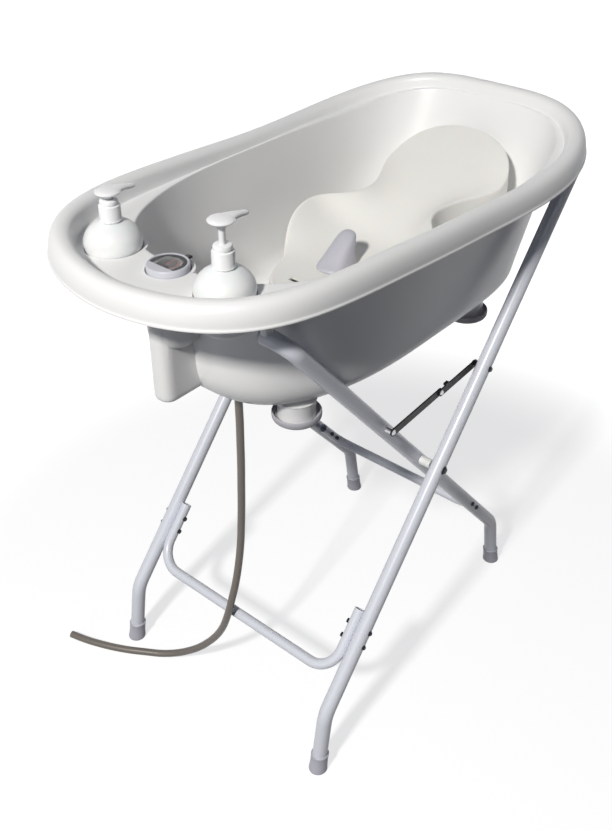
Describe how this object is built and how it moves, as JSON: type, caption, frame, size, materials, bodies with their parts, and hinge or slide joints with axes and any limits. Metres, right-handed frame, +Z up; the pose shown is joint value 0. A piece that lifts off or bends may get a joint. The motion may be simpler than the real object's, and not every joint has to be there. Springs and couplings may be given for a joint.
{
  "type": "baby bath on a folding stand",
  "caption": "Moulded baby bath with an infant seat, pump bottles, a bath thermometer and a drain hose, standing on a folding frame of crossed steel tubes.",
  "frame": {"origin": "middle of the footprint on the ground, under the middle of the tub's rim", "axes": "+X towards the head end of the tub, +Y towards the far side seen from the picture, +Z up"},
  "size_m": [0.948, 0.5816, 0.9852],
  "materials": {
    "tub_plastic": "smooth moulded polypropylene, soft gloss",
    "seat_plastic": "smooth moulded polypropylene, soft gloss",
    "pommel_plastic": "satin",
    "foot_rubber": "matt",
    "drain_plastic": "satin",
    "washer_rubber": "matt",
    "hose_plastic": "smooth translucent PVC, tinted grey-brown",
    "bottle_plastic": "gloss",
    "pump_plastic": "gloss",
    "case_plastic": "gloss",
    "dial_plastic": "satin",
    "needle_plastic": "gloss",
    "lens_plastic": "clear",
    "leg_paint": "powder coated steel tube, satin",
    "cap_plastic": "satin",
    "spacer_plastic": "satin",
    "stay_paint": "black painted steel strip",
    "bolt_black": "blackened steel",
    "rivet_steel": "bright"
  },
  "bodies": {
    "pivot": {"pivot_bolts": "bolt_black", "pivot_spacers": "spacer_plastic"},
    "outer_frame": {"outer_leg_near": "leg_paint", "outer_leg_far": "leg_paint", "front_spreader": "leg_paint", "outer_foot_caps": "cap_plastic", "rim_saddles": "cap_plastic", "front_spreader_bolts": "bolt_black", "stay_bolts": "bolt_black"},
    "inner_frame": {"inner_leg_near": "leg_paint", "inner_leg_far": "leg_paint", "rear_spreader": "leg_paint", "inner_foot_caps": "cap_plastic", "inner_leg_plugs": "cap_plastic", "rear_spreader_bolts": "bolt_black"},
    "stay_upper_near": {"stay_upper_near": "stay_paint", "knee_rivet_near": "rivet_steel"},
    "stay_upper_far": {"stay_upper_far": "stay_paint", "knee_rivet_far": "rivet_steel"},
    "stay_lower_near": {"stay_lower_near": "stay_paint", "stay_pin_near": "rivet_steel"},
    "stay_lower_far": {"stay_lower_far": "stay_paint", "stay_pin_far": "rivet_steel"},
    "tub": {"tub": "tub_plastic", "tub_foot_rings": "foot_rubber", "drain_body": "drain_plastic", "drain_washer": "washer_rubber", "drain_nut": "drain_plastic", "drain_hose": "hose_plastic"},
    "drain_plug": {"drain_plug": "drain_plastic"},
    "bottle_near": {"bottle_near": "bottle_plastic", "pump_collar_near": "pump_plastic", "dip_tube_near": "pump_plastic"},
    "bottle_far": {"bottle_far": "bottle_plastic", "pump_collar_far": "pump_plastic", "dip_tube_far": "pump_plastic"},
    "pump_near": {"pump_head_near": "pump_plastic"},
    "pump_far": {"pump_head_far": "pump_plastic"},
    "thermometer": {"thermometer_case": "case_plastic", "thermometer_dial": "dial_plastic", "thermometer_lens": "lens_plastic"},
    "needle": {"thermometer_needle": "needle_plastic"},
    "seat": {"seat_shell": "seat_plastic", "seat_pommel": "pommel_plastic"}
  },
  "joints": [
    {"name": "tub_lift", "type": "slide", "parent": "pivot", "child": "tub", "axis": [0, 0, 1], "range_m": [0, 0.9]},
    {"name": "outer_fold", "type": "hinge", "parent": "pivot", "child": "outer_frame", "pos_m": [-0.012, 0, 0.451], "axis": [0, -1, 0], "range_deg": [0, 35.1]},
    {"name": "inner_fold", "type": "hinge", "parent": "pivot", "child": "inner_frame", "pos_m": [-0.012, 0, 0.451], "axis": [0, 1, 0], "range_deg": [0, 35.1]},
    {"name": "stay_upper_near", "type": "hinge", "parent": "outer_frame", "child": "stay_upper_near", "pos_m": [0.10587, 0, 0.589], "axis": [0, 1, 0], "range_deg": [0, 130]},
    {"name": "stay_knee_near", "type": "hinge", "parent": "stay_upper_near", "child": "stay_lower_near", "pos_m": [0.00853, 0, 0.58152], "axis": [0, -1, 0], "range_deg": [0, 165.5]},
    {"name": "stay_upper_far", "type": "hinge", "parent": "outer_frame", "child": "stay_upper_far", "pos_m": [0.10587, 0, 0.589], "axis": [0, 1, 0], "range_deg": [0, 130]},
    {"name": "stay_knee_far", "type": "hinge", "parent": "stay_upper_far", "child": "stay_lower_far", "pos_m": [0.00853, 0, 0.58152], "axis": [0, -1, 0], "range_deg": [0, 165.5]},
    {"name": "bottle_lift_near", "type": "slide", "parent": "tub", "child": "bottle_near", "axis": [0, 0, 1], "range_m": [0, 0.12]},
    {"name": "bottle_lift_far", "type": "slide", "parent": "tub", "child": "bottle_far", "axis": [0, 0, 1], "range_m": [0, 0.12]},
    {"name": "pump_press_near", "type": "slide", "parent": "bottle_near", "child": "pump_near", "axis": [0, 0, 1], "range_m": [-0.0215, 0], "stiffness_N_per_m": 120, "springref_m": 0.01},
    {"name": "pump_raise_far", "type": "slide", "parent": "bottle_far", "child": "pump_far", "axis": [0, 0, 1], "range_m": [0, 0.0215]},
    {"name": "thermometer_lift", "type": "slide", "parent": "tub", "child": "thermometer", "axis": [0, 0, 1], "range_m": [0, 0.08]},
    {"name": "needle_turn", "type": "hinge", "parent": "thermometer", "child": "needle", "pos_m": [-0.352, 0, 0.884], "axis": [0, 0, 1], "range_deg": [-120, 120]},
    {"name": "seat_lift", "type": "slide", "parent": "tub", "child": "seat", "axis": [0, 0, 1], "range_m": [0, 0.3]},
    {"name": "plug_lift", "type": "slide", "parent": "tub", "child": "drain_plug", "axis": [0, 0, 1], "range_m": [0, 0.15]}
  ],
  "couplings": [
    {"joint": "outer_fold", "follows": "tub_lift", "rad_per_m": 0.67878},
    {"joint": "inner_fold", "follows": "tub_lift", "rad_per_m": 0.67878},
    {"joint": "stay_upper_near", "follows": "tub_lift", "rad_per_m": 2.5093},
    {"joint": "stay_knee_near", "follows": "tub_lift", "rad_per_m": 3.1951},
    {"joint": "stay_upper_far", "follows": "tub_lift", "rad_per_m": 2.5093},
    {"joint": "stay_knee_far", "follows": "tub_lift", "rad_per_m": 3.1951}
  ]
}
